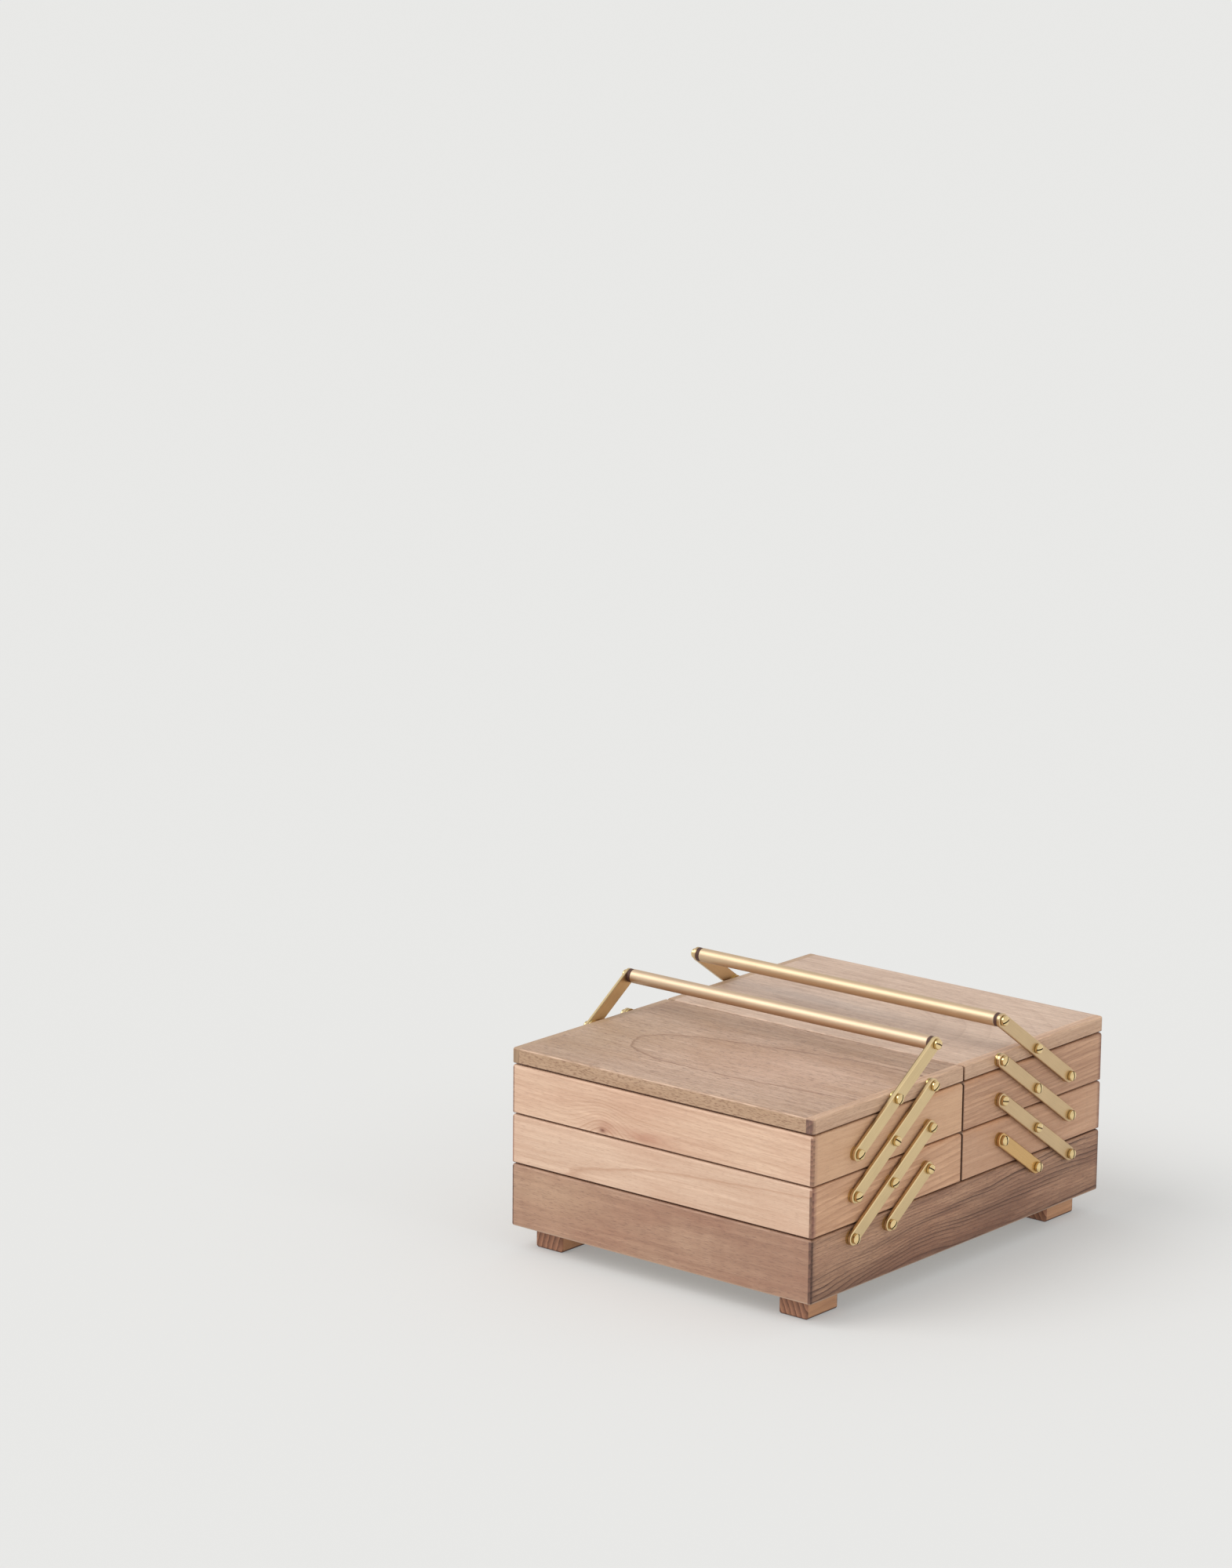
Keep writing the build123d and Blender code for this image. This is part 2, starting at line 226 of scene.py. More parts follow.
class Shader:
    """A material's node tree with short ways to add to it."""

    def __init__(self, name):
        self.material = bpy.data.materials.new(name)
        self.material.use_nodes = True
        self.tree = self.material.node_tree
        self.surface = self.tree.nodes["Principled BSDF"]
        self.coordinates = self.add("TexCoord").outputs
        self.place = self.coordinates["Object"]

    def put(self, socket, value):
        """Link a value that is a socket, or set one that is a number or a colour."""
        if isinstance(value, bpy.types.NodeSocket):
            self.tree.links.new(value, socket)
        else:
            socket.default_value = value

    def add(self, kind, inputs=(), **settings):
        node = self.tree.nodes.new("ShaderNode" + kind)
        for key, value in settings.items():
            setattr(node, key, value)
        for key, value in dict(inputs).items():
            self.put(node.inputs[key], value)
        return node

    def split(self, kind):
        """The X, Y and Z of the place on the Object, or of the Normal there."""
        return self.add("SeparateXYZ", {0: self.coordinates[kind]}).outputs

    def math(self, operation, first, second=0.0, third=0.0):
        return self.add("Math", {0: first, 1: second, 2: third}, operation=operation).outputs[0]

    def vector(self, operation, *values):
        """A vector sum's node. Its first output is a vector, and Value is a number."""
        return self.add("VectorMath", dict(enumerate(values)), operation=operation)

    def range(self, value, low, high, to_low=0.0, to_high=1.0, smooth=False):
        """value moved from low..high to to_low..to_high, and held inside it."""
        kind = "SMOOTHSTEP" if smooth else "LINEAR"
        inputs = {"Value": value, "From Min": low, "From Max": high, "To Min": to_low, "To Max": to_high}
        return self.add("MapRange", inputs, interpolation_type=kind).outputs[0]

    def hump(self, offset, width):
        """1 where offset is 0, falling smoothly to 0 a few widths away."""
        share = self.math("DIVIDE", offset, width)
        return self.math("EXPONENT", self.math("MULTIPLY", self.math("MULTIPLY", share, share), -1.0))

    def mix(self, share, first, second):
        node = self.add("Mix", data_type="RGBA", blend_type="MIX")
        self.put(node.inputs["Factor"], share)
        self.put(node.inputs[6], first)
        self.put(node.inputs[7], second)
        return node.outputs[2]

    def cover(self, colour, share, most, tone):
        """colour with tone over it, by share times most."""
        return self.mix(self.math("MULTIPLY", share, most), colour, tone)

    def lay(self, colour, value, levels, most, tone):
        """colour with tone over it, from none at the first level of value to most at the second."""
        return self.mix(self.range(value, *levels, 0.0, most), colour, tone)

    def stretched(self, scale, shift=0.0):
        """The place on the object times scale, an (x, y, z), moved by shift."""
        moved = (shift, 1.7 * shift, 2.3 * shift)
        return self.vector("MULTIPLY_ADD", self.place, scale, moved).outputs[0]

    def noise(self, place, scale=1.0, detail=2.0, roughness=0.5):
        """Noise from 0 to 1 about 0.5."""
        inputs = {"Vector": place, "Scale": scale, "Detail": detail, "Roughness": roughness}
        return self.add("TexNoise", inputs).outputs[0]

    def bump(self, height, relief):
        inputs = {"Height": height, "Strength": relief[0], "Distance": relief[1]}
        return self.add("Bump", inputs).outputs[0]

    def surface_sockets(self, **values):
        """Set the shader's own sockets: Base_Color, Roughness and so on."""
        for key, value in values.items():
            self.put(self.surface.inputs[key.replace("_", " ")], value)


class Wood(Shader):
    """Sawn and oiled wood, with the growth rings of one tree cut by all the faces of a board."""

    def __init__(self, name, look):
        super().__init__(name)
        self.look = {**PLAIN_BOARD, **look}
        self.on_x = self.look["grain"] == "X"
        run_axis, cross_axis = (0, 1) if self.on_x else (1, 0)
        self.xyz = self.split("Object")
        self.along = self.xyz[run_axis]
        self.across = self.xyz[cross_axis]
        self.up = self.xyz[2]
        normal = self.split("Normal")
        self.endways = normal[run_axis]
        self.sideways = self.math("ABSOLUTE", normal[cross_axis])
        self.upward = normal[2]
        self.pale = linear(*self.look["pale"])
        self.paler = scaled(self.look["pale"], PALER_GAIN)
        self.dark = linear(*self.look["dark"])
        self.end = linear(*self.look["end"])
        self.painted_underside = linear(*self.look["painted_underside"])
        self.draw_rings()
        self.draw_fibres()

    def drawn(self, pattern, detail=2.0, roughness=0.5):
        """Noise drawn out along the grain."""
        by_length, by_width, shift = pattern
        scale = (by_length, by_width, by_width) if self.on_x else (by_width, by_length, by_width)
        place = self.stretched(scale, SEED_SHIFT * self.look["seed"] + shift)
        return self.noise(place, detail=detail, roughness=roughness)

    def draw_rings(self):
        """Find part, how far each point is through its ring, and late, how much late wood it has."""
        look = self.look
        run = self.math("SUBTRACT", self.along, look["centre"])
        sunk = self.math("MULTIPLY", self.math("MULTIPLY", run, run), look["bow"])
        pith_side = self.math("MULTIPLY_ADD", run, look["sway"], look["side"])
        pith_rise = self.math("SUBTRACT", self.math("MULTIPLY_ADD", run, look["lean"], look["rise"]), sunk)
        off_side = self.math("SUBTRACT", self.across, pith_side)
        off_rise = self.math("SUBTRACT", self.up, pith_rise)
        rise_square = self.math("MULTIPLY", off_rise, off_rise)
        square = self.math("MULTIPLY_ADD", off_side, off_side, rise_square)
        bend = self.math("SUBTRACT", self.drawn(BEND, detail=1.0), 0.5)
        self.ragged = self.math("SUBTRACT", self.drawn(RAGGED), 0.5)
        radius = self.math("MULTIPLY_ADD", bend, look["wander"], self.math("SQRT", square))
        radius = self.math("MULTIPLY_ADD", self.ragged, 2 * look["jag"], radius)
        if look["knot"]:
            spot, size, lift = look["knot"]
            far = self.vector("DISTANCE", self.place, spot).outputs["Value"]
            radius = self.math("MULTIPLY_ADD", self.hump(far, size * KNOT_LIFT_REACH), -lift, radius)
        turns = self.math("DIVIDE", self.math("SUBTRACT", radius, look["phase"]), look["ring"])
        self.part = self.math("FRACT", turns)
        luck = self.add("TexWhiteNoise", {"W": self.math("FLOOR", turns)}, noise_dimensions="1D").outputs[0]
        rising = self.math("POWER", self.part, look["sharp"])
        late = self.math("MULTIPLY", rising, self.range(self.part, look["crest"], 1.0, 1.0, 0.0))
        late = self.math("MULTIPLY", late, self.range(luck, 0.0, 1.0, *RING_LUCK))
        if look["knot"]:
            swirl = self.hump(far, size * KNOT_SWIRL_REACH)
            late = self.math("MULTIPLY", late, self.math("MULTIPLY_ADD", swirl, KNOT_SWIRL, 1.0))
        self.band_shares = []
        for middle, slope, width, _ in look["bands"]:
            level = self.math("MULTIPLY_ADD", run, -slope, self.across if look["flat"] else self.up)
            level = self.math("MULTIPLY_ADD", bend, 2.5 * width, level)
            self.band_shares.append(self.hump(self.math("SUBTRACT", level, middle), width))
        if look["hush"]:
            zone = self.band_shares[0]
            for share in self.band_shares[1:]:
                zone = self.math("MAXIMUM", zone, share)
            late = self.math("MULTIPLY", late, self.range(zone, 0.0, 1.0, 1.0 - look["hush"], 1.0))
        self.late = late

    def draw_fibres(self):
        self.streak = self.drawn(STREAK, roughness=0.6)
        self.fibre = self.drawn(FIBRE, roughness=0.7)
        self.pore = self.range(self.drawn(PORE, detail=1.0), *PORE_LEVELS)

    def figure(self):
        """The colour of the faces along the grain."""
        look = self.look
        cloud = self.drawn(CLOUD, detail=3.0, roughness=0.55)
        colour = self.lay(self.pale, cloud, CLOUD_LEVELS, look["clouds"], linear(*look["tint"]))
        colour = self.lay(colour, self.streak, STREAK_LEVELS, look["streaks"], self.dark)
        colour = self.lay(colour, self.streak, PALE_STREAK_LEVELS, look["streaks"], self.paler)
        colour = self.lay(colour, self.fibre, FIBRE_LEVELS, look["fibres"], self.dark)
        colour = self.cover(colour, self.late, look["contrast"], self.dark)
        if look["curl"]:
            colour = self.lay(colour, self.drawn(RIPPLE), RIPPLE_LEVELS, look["curl"], self.dark)
        for share, (_, _, _, most) in zip(self.band_shares, look["bands"]):
            colour = self.cover(colour, share, most, self.dark)
        for spot, reach, most, stain in look["blushes"]:
            off = self.vector("SUBTRACT", self.place, spot).outputs[0]
            off = self.vector("MULTIPLY", off, [1 / r for r in reach]).outputs[0]
            away = self.math("MULTIPLY_ADD", self.ragged, 1.2, self.vector("LENGTH", off).outputs["Value"])
            colour = self.cover(colour, self.hump(away, 1.0), most, linear(*stain))
        return self.cover(colour, self.pore, look["pores"], self.end)

    def worn_and_shaded(self, colour):
        """colour with the long edges' tone, painted shade below (a painted highlight on the base), pale upper
        edges.
        """
        look = self.look
        if look["flank"]:
            side_face = self.range(self.sideways, *SIDE_FACE_TURN)
            colour = self.cover(colour, side_face, look["flank"], linear(*look["flank_tone"]))
            fleck = self.range(self.drawn(FLECK, detail=3.0), *FLECK_LEVELS, 0.0, FLECK_SHARE)
            colour = self.cover(colour, side_face, fleck, self.dark)
        # painted shade on the rounded undersides, less on level ones; on the base the colour is a painted
        # highlight
        rounding = self.range(self.upward, *UNDERSIDE_TURN, 0.0, look["painted_underside_share"])
        not_level = self.range(self.upward, *LEVEL_UNDERSIDE_TURN, 0.4, 1.0)
        colour = self.cover(colour, rounding, not_level, self.painted_underside)
        # the upper rounded edges made paler: partly rubbing, partly a painted highlight
        turned_up = self.range(self.upward, *BEVEL_TURN)
        bevel = self.math("MULTIPLY", self.range(self.sideways, *BEVEL_TURN), turned_up)
        rubbed_and_highlight = self.range(self.drawn(RUBBING_AND_HIGHLIGHT), *RUBBING_AND_HIGHLIGHT_LEVELS, 0.1 * look["wear_and_highlight"], look["wear_and_highlight"])
        return self.cover(colour, bevel, rubbed_and_highlight, self.paler)

    def end_grain(self):
        """The colour of the faces across the grain."""
        look = self.look
        mottle = self.noise(self.stretched(END_MOTTLE, END_MOTTLE_SHIFT + look["seed"]))
        tone = self.end
        deep = linear(*look["deep"]) if look["deep"] else scaled(look["end"], END_RING_GAIN)
        if look["left_end"]:
            right_half = self.range(self.xyz[0], -0.01, 0.01)
            tone = self.mix(right_half, linear(*look["left_end"]), tone)
            deep = self.mix(right_half, scaled(look["left_end"], LEFT_END_RING_GAIN), deep)
        tone = self.cover(tone, self.part, 0.9, deep)
        return self.lay(tone, mottle, END_MOTTLE_LEVELS, END_MOTTLE_SHARE, self.dark)

    def ended(self, colour):
        """colour with the end grain, a pale line of painted highlight and rubbing, and darker wood near the
        corners.
        """
        look = self.look
        begin, full = END_GRAIN_TURN[look["grain"]]
        low_end = self.range(self.endways, -begin, -full, 0.0, look["ends"][0], smooth=True)
        high_end = self.range(self.endways, begin, full, 0.0, look["ends"][1], smooth=True)
        level_edge = self.range(self.math("ABSOLUTE", self.upward), 0.25, 0.6, 1.0, 0.25)
        end_share = self.math("MULTIPLY", self.math("ADD", low_end, high_end), level_edge)
        if look["end_rim"]:
            rim = self.range(self.sideways, 0.40, 0.80, 1.0, 1.0 - look["end_rim"])
            end_share = self.math("MULTIPLY", end_share, rim)
        # a painted highlight, with some rubbing, as a pale line where the edge starts to round
        if look["edge_wear_and_highlight"]:
            turn = self.math("SUBTRACT", self.math("ABSOLUTE", self.endways), EDGE_WEAR_AND_HIGHLIGHT_TURN)
            line = self.hump(turn, EDGE_WEAR_AND_HIGHLIGHT_WIDTH)
            line = self.math("MULTIPLY", line, self.range(self.endways, 0.004, 0.01))
            colour = self.cover(colour, line, look["edge_wear_and_highlight"], self.paler)
        if look["corner_darkening"]:
            begin, full = [BOX_END - distance for distance in CORNER_DARKENING_FROM_END]
            stain = self.range(self.math("ABSOLUTE", self.along), begin, full, 0.0, look["corner_darkening"])
            colour = self.cover(colour, stain, self.range(self.streak, 0.35, 0.60, 0.7, 1.0), self.end)
        return self.mix(end_share, colour, self.end_grain())

    def seamed(self, colour):
        """colour with a line of painted shade where the two halves meet, strongest towards the box's ends."""
        # painted shade beside the gap between the two halves
        beside = self.range(self.math("ABSOLUTE", self.xyz[1]), *SEAM_FROM_MIDDLE, 0.0, self.look["seam_shade"])
        begin, full = [BOX_SIDE - distance for distance in SEAM_FROM_SIDE]
        outer = self.range(self.math("ABSOLUTE", self.xyz[0]), begin, full, 0.25, 1.0)
        return self.cover(colour, beside, outer, self.painted_underside)


def wood(name, **look):
    """A material of sawn and oiled wood. PLAIN_BOARD says what a look is made of."""
    shader = Wood(name, look)
    colour = shader.ended(shader.worn_and_shaded(shader.figure()))
    if shader.look["seam_shade"]:
        colour = shader.seamed(colour)
    relief = shader.math("MULTIPLY_ADD", shader.pore, -0.9, shader.math("MULTIPLY", shader.fibre, 0.6))
    rough = shader.range(shader.fibre, 0.2, 0.8, *WOOD_ROUGHNESS)
    shader.surface_sockets(Base_Color=colour, Roughness=rough, Normal=shader.bump(relief, WOOD_RELIEF))
    shader.surface_sockets(Specular_IOR_Level=WOOD_SPECULAR)
    return shader.material


def brass(
    name,
    colour,
    roughness,
    length,
    aside_shade,
    scratches=0.05,
    belly_shade=0.0,
    chamfer_highlight=0.0,
    slot_x=0.0,
    seat=None,
):
    """Brass brushed along its length, with painted shade on the faces that don't look along X.

    slot_x is where the slots of the screw heads end; above it, what looks aside is a slot's wall.
    The slots' walls and floors are painted with shade.
    seat is where the metal meets what it sits on, and how far the painted shade in that crevice reaches.
    shine paints a highlight on the chamfers, and belly paints shade on what looks down.
    """
    shader = Shader(name)
    turn = Vector(length).rotation_difference(Vector((0.0, 0.0, 1.0))).to_euler()
    turned = shader.add("VectorRotate", {"Vector": shader.place, "Rotation": turn}, rotation_type="EULER_XYZ")
    drawn = shader.vector("MULTIPLY", turned.outputs[0], BRUSHING)
    lines = shader.noise(drawn.outputs[0], detail=3.0, roughness=0.65)
    tarnish = shader.noise(shader.place, scale=60.0, detail=3.0)
    tone = shader.lay(linear(*colour), tarnish, TARNISH_LEVELS, TARNISH_SHARE, scaled(colour, TARNISH_GAIN))
    tone = shader.lay(tone, lines, BRUSHING_LEVELS, 3 * scratches, scaled(colour, BRUSHING_GAIN))
    normal = shader.split("Normal")
    # belly paints shade on the faces that look down
    if belly_shade:
        tone = shader.lay(tone, normal[2], BELLY_TURN, belly_shade, scaled(colour, BELLY_SHADE_GAIN))
    facing = shader.math("ABSOLUTE", normal[0])
    aside = shader.range(facing, *ASIDE_TURN)
    # painted shade on the faces that look aside
    if aside_shade:
        tone = shader.cover(tone, aside, aside_shade, scaled(colour, ASIDE_SHADE_GAIN))
    # a painted highlight on the chamfers
    if chamfer_highlight:
        not_flat = shader.range(facing, *FLAT_FACE_TURN)
        chamfer = shader.math("MULTIPLY", shader.range(facing, *CHAMFER_TURN), not_flat)
        tone = shader.cover(tone, chamfer, chamfer_highlight, scaled(colour, CHAMFER_HIGHLIGHT_GAIN))
    outward = shader.math("ABSOLUTE", shader.split("Object")[0])
    # painted shade in the crevice where the metal meets what it sits on
    if seat:
        seat_x, reach = seat
        crevice = shader.range(outward, seat_x + reach, seat_x, 0.0, 0.8)
        tone = shader.cover(tone, crevice, aside, linear(*CREVICE_SHADE))
    if slot_x:
        above = shader.range(outward, slot_x - 3e-4, slot_x - 1e-4)
        at_floor = shader.range(outward, slot_x + 2e-4, slot_x)
        slot_floor = shader.math("MULTIPLY", shader.range(facing, *SLOT_FLOOR_TURN), at_floor)
        slot = shader.math("MAXIMUM", slot_floor, shader.math("MULTIPLY", aside, above))
        tone = shader.mix(slot, tone, linear(*SLOT_SHADE))
    rough = shader.range(lines, 0.2, 0.8, roughness - scratches, roughness + scratches)
    relief = shader.bump(lines, BRASS_RELIEF)
    shader.surface_sockets(Base_Color=tone, Roughness=rough, Metallic=1.0, Normal=relief)
    return shader.material


def fibre_washer(name):
    """Dark brown pressed fibre."""
    shader = Shader(name)
    speck = shader.noise(shader.place, scale=1800.0, detail=3.0)
    tone = shader.mix(shader.range(speck, 0.3, 0.7), linear(62, 36, 30), linear(96, 62, 50))
    shader.surface_sockets(Base_Color=tone, Roughness=0.65, Normal=shader.bump(speck, FIBRE_RELIEF))
    return shader.material


def paint(node_name, material):
    """Give a CAD node its material."""
    node = nodes[node_name]
    node.data.materials.clear()
    node.data.materials.append(material)


# ---- kinds of wood ----
# a painted highlight on the base's rounded undersides, in place of the painted shade
BASE_UNDERSIDE_HIGHLIGHT = dict(painted_underside=(208, 180, 156), painted_underside_share=0.55)
TRAY = dict(
    pale=(231, 197, 170),
    dark=(186, 142, 114),
    end=(158, 114, 94),
    tint=(212, 168, 142),
    pores=0.22,
    seam_shade=0.9,
)
# brighter and more saturated than the long walls: partly their own tone, partly painted warm light on the
# shaded ends
TRAY_END = dict(
    pale=(234, 188, 150),
    dark=(176, 128, 98),
    end=(140, 98, 82),
    tint=(206, 158, 124),
    pores=0.20,
    seam_shade=0.9,
)
BASE = dict(
    pale=(196, 160, 134),
    dark=(142, 106, 86),
    end=(122, 88, 76),
    tint=(172, 128, 106),
    pores=0.40,
    **BASE_UNDERSIDE_HIGHLIGHT,
)
BASE_END = dict(
    pale=(200, 156, 125),
    dark=(88, 58, 44),
    end=(96, 68, 58),
    tint=(168, 120, 94),
    pores=0.45,
    **BASE_UNDERSIDE_HIGHLIGHT,
)
LID = dict(
    pale=(211, 180, 156),
    dark=(144, 108, 85),
    end=(100, 70, 60),
    tint=(186, 150, 121),
    pores=0.65,
    seam_shade=0.35,
)
CLEAT = dict(
    pale=(219, 183, 153),
    dark=(158, 118, 92),
    end=(112, 76, 72),
    tint=(200, 158, 128),
    left_end=(176, 144, 114),
    pores=0.26,
    seam_shade=0.5,
)
PANEL = dict(pale=(224, 198, 168), dark=(196, 164, 132), end=(160, 126, 98), tint=(212, 184, 152), pores=0.15)
FOOT = dict(
    pale=(209, 158, 118),
    dark=(168, 120, 88),
    end=(186, 132, 104),
    deep=(84, 50, 40),
    tint=(200, 148, 110),
    pores=0.20,
)

# ---- woods, piece by piece ----
OUTER_END = 0.85  # shares of end grain at the outer wall's corners, and where the halves meet
INNER_END = 0.12
WOODS = {
    "base_front_wall": dict(
        rise=-0.12,
        lean=0.03,
        ring=0.006,
        contrast=0.25,
        curl=0.25,
        clouds=0.8,
        streaks=0.35,
        edge_wear_and_highlight=0.5,
        blushes=(
            ((-0.090, -BOX_END, 0.046), (0.050, 0.02, 0.020), 0.42, (198, 162, 133)),
            ((0.090, -BOX_END, 0.036), (0.070, 0.02, 0.030), 0.48, (154, 114, 94)),
        ),
        seed=1,
        **BASE,
    ),
    "base_rear_wall": dict(rise=-0.10, lean=-0.04, ring=0.005, contrast=0.4, clouds=0.5, seed=2, **BASE),
    "base_right_end_wall": dict(
        grain="Y",
        side=0.165,
        rise=-0.03,
        centre=-0.17,
        lean=0.10,
        bow=0.2,
        ring=0.0025,
        sharp=3.5,
        contrast=2.0,
        wander=0.018,
        jag=0.0005,
        clouds=0.7,
        streaks=0.30,
        fibres=0.40,
        corner_darkening=0.45,
        hush=0.74,
        bands=(
            (0.0215, -0.02, 0.0075, 0.26),
            (0.0180, 0.085, 0.0050, 0.20),
            (0.0330, 0.085, 0.0022, 0.15),
        ),
        blushes=(
            ((BOX_SIDE, 0.0, 0.020), (0.02, 0.12, 0.010), 0.35, (146, 98, 76)),
            ((BOX_SIDE, -0.02, 0.0165), (0.02, 0.15, 0.0050), 0.64, (92, 60, 46)),
            ((BOX_SIDE, 0.050, 0.030), (0.02, 0.035, 0.011), 0.36, (104, 68, 52)),
            ((BOX_SIDE, -0.145, 0.045), (0.02, 0.040, 0.012), 0.35, (176, 138, 114)),
        ),
        seed=3,
        **BASE_END,
    ),
    "base_left_end_wall": dict(
        grain="Y",
        side=-0.165,
        rise=-0.05,
        lean=-0.04,
        ring=0.0032,
        sharp=2.0,
        contrast=0.6,
        wander=0.014,
        jag=0.0011,
        clouds=0.6,
        bands=((0.046, -0.03, 0.008, 0.45),),
        seed=4,
        **BASE_END,
    ),
    "base_bottom_panel": dict(side=0.05, rise=-0.02, bow=1.5, ring=0.006, seed=5, **PANEL),
    "near_upper_tray_outer_wall": dict(
        side=-0.165,
        rise=0.02,
        lean=-0.06,
        ring=0.0036,
        contrast=0.35,
        wander=0.008,
        clouds=0.5,
        streaks=0.32,
        fibres=0.22,
        knot=((-0.0492, -BOX_END, 0.1012), 0.0030, 0.016),
        blushes=(
            ((-0.0492, -BOX_END, 0.1016), (0.0026, 0.02, 0.0012), 0.95, (104, 56, 44)),
            ((-0.046, -BOX_END, 0.1050), (0.0080, 0.02, 0.0055), 0.35, (178, 118, 94)),
            ((-0.012, -BOX_END, 0.1035), (0.0190, 0.02, 0.0045), 0.60, (186, 130, 106)),
        ),
        edge_wear_and_highlight=0.6,
        seed=6,
        **TRAY,
    ),
    "near_lower_tray_outer_wall": dict(
        side=-0.137,
        rise=0.064,
        centre=-0.0837,
        sway=-0.0692,
        ring=0.050,
        phase=-0.017,
        sharp=85.0,
        crest=0.99,
        contrast=1.3,
        wander=0.003,
        clouds=0.35,
        streaks=0.30,
        edge_wear_and_highlight=0.6,
        seed=7,
        **dict(TRAY, pale=(226, 194, 169)),
    ),
    "near_lid_board": dict(
        side=-0.0845,
        rise=0.1396,
        centre=0.050,
        sway=0.10,
        bow=2.19,
        ring=0.0750,
        phase=-0.0325,
        sharp=75.0,
        crest=0.99,
        contrast=2.4,
        wander=0.013,
        jag=0.0018,
        clouds=0.9,
        streaks=0.34,
        fibres=0.40,
        flank=0.6,
        flank_tone=(190, 156, 124),
        wear_and_highlight=0.8,
        flat=True,
        bands=((-0.008, 0.03, 0.010, 0.30), (-0.150, 0.05, 0.020, 0.18)),
        blushes=(
            ((-0.105, -0.105, 0.145), (0.040, 0.080, 0.05), 0.50, (172, 142, 112)),
            ((0.040, -0.090, 0.145), (0.080, 0.050, 0.05), 0.40, (208, 170, 150)),
        ),
        seed=8,
        **LID,
    ),
    "far_lid_board": dict(
        side=0.062,
        rise=0.100,
        centre=-0.05,
        sway=-0.12,
        bow=2.0,
        ring=0.012,
        sharp=6.0,
        contrast=0.22,
        wander=0.010,
        clouds=0.6,
        streaks=0.25,
        flank=0.4,
        wear_and_highlight=0.7,
        blushes=(((-0.05, 0.068, 0.145), (0.075, 0.012, 0.02), 0.35, (178, 166, 160)),),
        seed=9,
        **dict(LID, pale=(220, 192, 170), tint=(196, 168, 148), pores=0.35),
    ),
}
for number, foot in enumerate(("near_left_foot", "near_right_foot", "far_left_foot", "far_right_foot")):
    WOODS[foot] = dict(grain="Y", side=0.02 * number, rise=-0.03, ring=0.0042, seed=20 + number, **FOOT)

# what sets the end walls of each tray apart
END_LOOKS = {
    ("near", "upper"): dict(
        pale=(223, 180, 143),
        end=(176, 134, 110),
        contrast=0.15,
        streaks=0.14,
        fibres=0.2,
        corner_darkening=0.6,
    ),
    ("near", "lower"): dict(
        end=(152, 108, 92),
        lean=0.10,
        ring=0.0050,
        sharp=2.0,
        contrast=0.70,
        streaks=0.45,
        clouds=0.6,
    ),
    ("far", "upper"): dict(
        pale=(212, 168, 135),
        dark=(152, 108, 84),
        lean=0.05,
        ring=0.0030,
        contrast=0.60,
        streaks=0.50,
        clouds=0.7,
    ),
    ("far", "lower"): dict(
        pale=(213, 170, 138),
        lean=0.02,
        ring=0.0046,
        contrast=0.45,
        streaks=0.35,
        clouds=0.5,
    ),
}
TRAY_FLOORS = (("lower", 0.062), ("upper", 0.098))  # heights in metres, which the rings follow
# a stain that covers the cleats of the left end
LEFT_CLEAT_TONE = ((-BOX_SIDE, 0.0, 0.14), (0.05, 1.0, 0.1), 0.9, (180, 150, 122))
seed = 30
for half, out in (("near", -1), ("far", 1)):
    cut_ends = (OUTER_END, INNER_END) if half == "near" else (INNER_END, OUTER_END)
    for level, tray_floor in TRAY_FLOORS:
        tray = f"{half}_{level}_tray"
        outer = dict(side=out * 0.15, rise=tray_floor - 0.07, lean=0.04, contrast=0.4, seed=seed, **TRAY)
        WOODS.setdefault(tray + "_outer_wall", outer)
        inner = dict(rise=tray_floor - 0.06, lean=-0.03, contrast=0.4, seed=seed + 1)
        WOODS[tray + "_inner_wall"] = dict(inner, ends=(INNER_END, INNER_END), **TRAY)
        sides = dict(grain="Y", side=0.15, rise=tray_floor - 0.09, corner_darkening=0.85, seed=seed + 2)
        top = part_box(tray + "_end_walls")[1][2]
        # a painted warm glow along the top edges of the end walls
        warm_glow = ((BOX_SIDE, out * 0.035, top), (0.02, 0.045, 0.0026), 0.45, (214, 148, 96))
        sides.update(ends=cut_ends, blushes=(warm_glow,))
        WOODS[tray + "_end_walls"] = {**TRAY_END, **sides, **END_LOOKS[half, level]}
        panel = dict(side=out * 0.07, rise=tray_floor - 0.03, bow=1.2, contrast=0.4, seed=seed + 3)
        WOODS[tray + "_bottom_panel"] = dict(panel, **PANEL)
        seed += 4
    divider = dict(grain="Y", side=0.05, rise=0.06, contrast=0.4, seed=seed)
    WOODS[f"{half}_upper_tray_divider"] = dict(divider, **PANEL)
    cleat = dict(grain="Y", side=0.16, rise=0.10, contrast=0.35, wear_and_highlight=0.7, seed=seed + 1)
    cleat.update(ends=cut_ends, end_rim=0.6, blushes=(LEFT_CLEAT_TONE,))
    WOODS[f"{half}_lid_end_cleats"] = dict(cleat, **CLEAT)
    seed += 2
for node_name, look in WOODS.items():
    paint(node_name, wood("wood_" + node_name, **look))

# ---- brass and washers ----
STRAP_LOOK = dict(scratches=0.07, aside_shade=0.05, chamfer_highlight=0.5, seat=(STRAP_FACE - STRAP_THICKNESS, 0.0010))
BAR_LOOK = dict(scratches=0.03, aside_shade=0.0, belly_shade=0.45)
HEAD_LOOK = dict(aside_shade=0.25, slot_x=SCREW_TIP - SLOT_DEPTH, seat=(SCREW_TIP - HEAD_HEIGHT, 0.0007))
SPACER_LOOK = dict(aside_shade=0.1, seat=(BOX_SIDE, 0.0008))
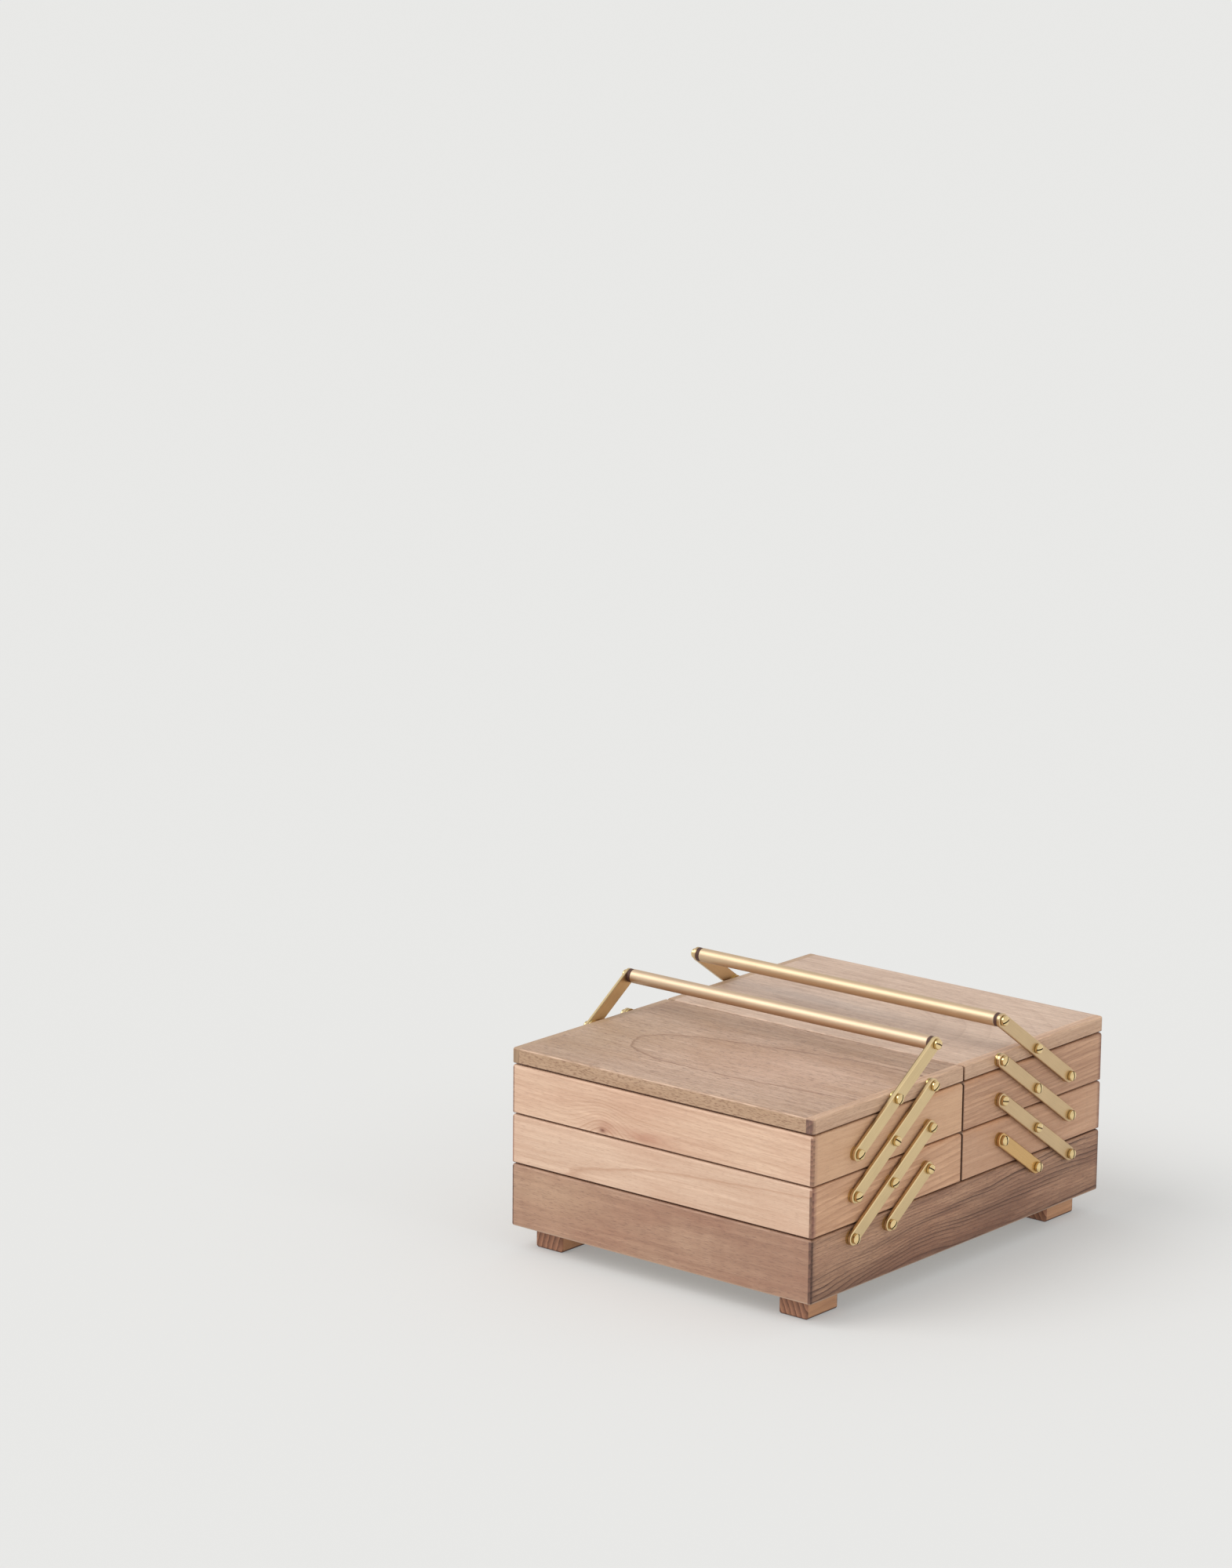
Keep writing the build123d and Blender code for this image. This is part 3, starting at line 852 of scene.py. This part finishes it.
# each material by how its nodes' names start and end; where two fit, the later one is used
HARDWARE = {
    ("near", "_straps"): brass("near_strap_brass", (229, 203, 156), 0.34, ALONG_NEAR_STRAPS, **STRAP_LOOK),
    ("far", "_straps"): brass("far_strap_brass", (217, 188, 146), 0.34, ALONG_FAR_STRAPS, **STRAP_LOOK),
    ("near", "_bar"): brass("near_bar_brass", (220, 194, 165), 0.50, ALONG_BAR, **BAR_LOOK),
    ("far", "_bar"): brass("far_bar_brass", (222, 196, 163), 0.50, ALONG_BAR, **BAR_LOOK),
    ("", "_screws"): brass("screw_brass", (248, 219, 162), 0.15, ALONG_BAR, **HEAD_LOOK),
    ("", "_spacer_washers"): brass("spacer_brass", (216, 190, 130), 0.32, ALONG_BAR, **SPACER_LOOK),
    ("", "_handle_washers"): fibre_washer("washer_fibre"),
    # a warmer copy of the same brass for the far short straps: a painted warmer reflection
    ("far_short", "_straps"): brass(
        "far_short_strap_reflection_brass", (222, 181, 122), 0.30, ALONG_FAR_STRAPS, **STRAP_LOOK
    ),
}
for node_name in nodes:
    for (start, ending), material in HARDWARE.items():
        if node_name.startswith(start) and node_name.endswith(ending):
            paint(node_name, material)


def make_floor():
    """A wide pale floor."""
    mesh = bpy.data.meshes.new("floor")
    half = FLOOR_SIZE / 2
    corners = [(-half, -half, 0), (half, -half, 0), (half, half, 0), (-half, half, 0)]
    mesh.from_pydata(corners, [], [(0, 1, 2, 3)])
    floor = bpy.data.objects.new("floor", mesh)
    bpy.context.scene.collection.objects.link(floor)
    shader = Shader("floor_paint")
    shader.surface_sockets(Base_Color=FLOOR_COLOUR + (1.0,), Roughness=0.9, Specular_IOR_Level=0.0)
    shader.surface_sockets(Emission_Color=FLOOR_GLOW + (1.0,), Emission_Strength=1.0)
    mesh.materials.append(shader.material)


def make_sun(name, travel, power, spread):
    lamp = bpy.data.lights.new(name, "SUN")
    lamp.energy = power
    lamp.angle = math.radians(spread)
    sun = bpy.data.objects.new(name, lamp)
    sun.rotation_mode = "QUATERNION"
    sun.rotation_quaternion = Vector(travel).to_track_quat("-Z", "Y")
    bpy.context.scene.collection.objects.link(sun)


def make_light():
    """A pale dome all round, one broad soft key from the front left and a faint fill from the right."""
    world = bpy.data.worlds.new("dome")
    bpy.context.scene.world = world
    world.use_nodes = True
    background = world.node_tree.nodes["Background"]
    background.inputs["Color"].default_value = DOME_COLOUR + (1.0,)
    background.inputs["Strength"].default_value = DOME_LIGHT
    make_sun("key", KEY_TRAVEL, KEY_POWER, KEY_SPREAD)
    make_sun("fill", FILL_TRAVEL, FILL_POWER, FILL_SPREAD)


def make_camera():
    data = bpy.data.cameras.new("camera")
    data.lens = CAMERA_LENS
    data.clip_start = 0.1
    data.clip_end = 100.0
    camera = bpy.data.objects.new("camera", data)
    turn = Matrix.Rotation(math.radians(CAMERA_AZIMUTH), 4, "Z")
    tip = Matrix.Rotation(math.radians(90 - CAMERA_ELEVATION), 4, "X")
    roll = Matrix.Rotation(math.radians(CAMERA_ROLL), 4, "Z")
    camera.matrix_world = Matrix.Translation(CAMERA_PLACE) @ turn @ tip @ roll
    bpy.context.scene.collection.objects.link(camera)
    bpy.context.scene.camera = camera


make_floor()
make_light()
make_camera()
bpy.context.scene.view_settings.view_transform = "Standard"
